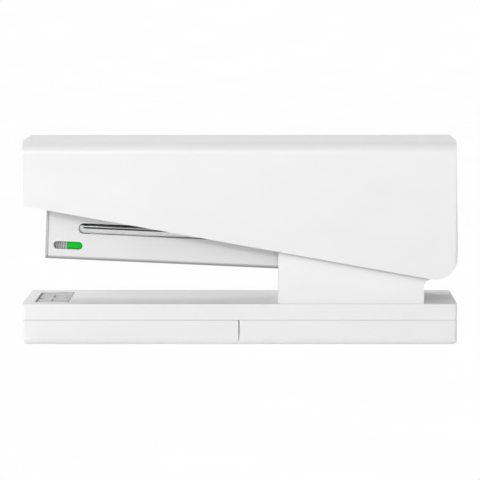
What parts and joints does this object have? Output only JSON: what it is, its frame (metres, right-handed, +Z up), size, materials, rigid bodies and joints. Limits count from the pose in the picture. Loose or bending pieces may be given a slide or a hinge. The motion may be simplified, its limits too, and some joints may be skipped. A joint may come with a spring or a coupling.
{
  "type": "desk stapler",
  "caption": "Hand-operated top-loading desk stapler: flat base with anvil and spare staple drawer, nose-up sprung magazine with a side window, and a deep lever cover on one hinge pin.",
  "frame": {"origin": "centre of the base footprint, on the desk", "axes": "+X along the stapler from the nose to the hinge at the back, +Y across it, +Z up"},
  "size_m": [0.15, 0.0354, 0.0709],
  "materials": {
    "shell_plastic": "fine matte texture",
    "magazine_plastic": "satin",
    "flag_plastic": "gloss",
    "bush_plastic": "satin",
    "foot_rubber": "matte",
    "sheet_steel": "zinc plated",
    "polished_steel": "nickel plated",
    "spring_steel": "drawn wire",
    "fastener_steel": "zinc plated",
    "staple_wire": "galvanised wire",
    "plated_steel": "nickel plated",
    "satin_steel": "bead blasted nickel plate"
  },
  "bodies": {
    "base": {"base_deck": "shell_plastic", "base_frame": "sheet_steel", "anvil_plate": "satin_steel", "anvil_rivets": "fastener_steel", "pedestal": "shell_plastic", "pedestal_screws": "fastener_steel", "hinge_bracket": "sheet_steel", "bracket_rivets": "fastener_steel", "hinge_pin": "polished_steel", "hinge_washers": "polished_steel", "lift_spring": "spring_steel", "rear_base_cover": "shell_plastic", "base_screws": "fastener_steel", "rear_foot_pad": "foot_rubber"},
    "drawer": {"staple_drawer": "shell_plastic", "front_foot_pad": "foot_rubber"},
    "magazine": {"magazine_housing": "magazine_plastic", "nose_plate": "plated_steel", "staple_channel": "polished_steel", "staple_core": "polished_steel", "magazine_rivets": "fastener_steel", "hinge_sleeve": "sheet_steel", "hinge_bushes": "bush_plastic", "pusher_rod": "polished_steel", "rod_block": "sheet_steel", "pusher_spring": "spring_steel", "staple_strip": "staple_wire"},
    "pusher": {"staple_pusher": "flag_plastic"},
    "cover": {"top_cover": "shell_plastic", "cover_frame": "sheet_steel", "cover_screws": "fastener_steel", "driver_blade": "polished_steel", "driver_rivets": "fastener_steel", "return_spring": "spring_steel"}
  },
  "joints": [
    {"name": "jaw_close", "type": "hinge", "parent": "base", "child": "magazine", "pos_m": [0.0668, 0, 0.0311], "axis": [0, -1, 0], "range_deg": [0, 6.4], "deforming": ["lift_spring"]},
    {"name": "cover_press", "type": "hinge", "parent": "magazine", "child": "cover", "pos_m": [0.0668, 0, 0.0311], "axis": [0, -1, 0], "range_deg": [-90, 3.6]},
    {"name": "pusher_slide", "type": "slide", "parent": "magazine", "child": "pusher", "axis": [0.999, 0, -0.0454], "range_m": [0, 0.046], "deforming": ["pusher_spring"]},
    {"name": "drawer_slide", "type": "slide", "parent": "base", "child": "drawer", "axis": [-1, 0, 0], "range_m": [0, 0.058]}
  ]
}
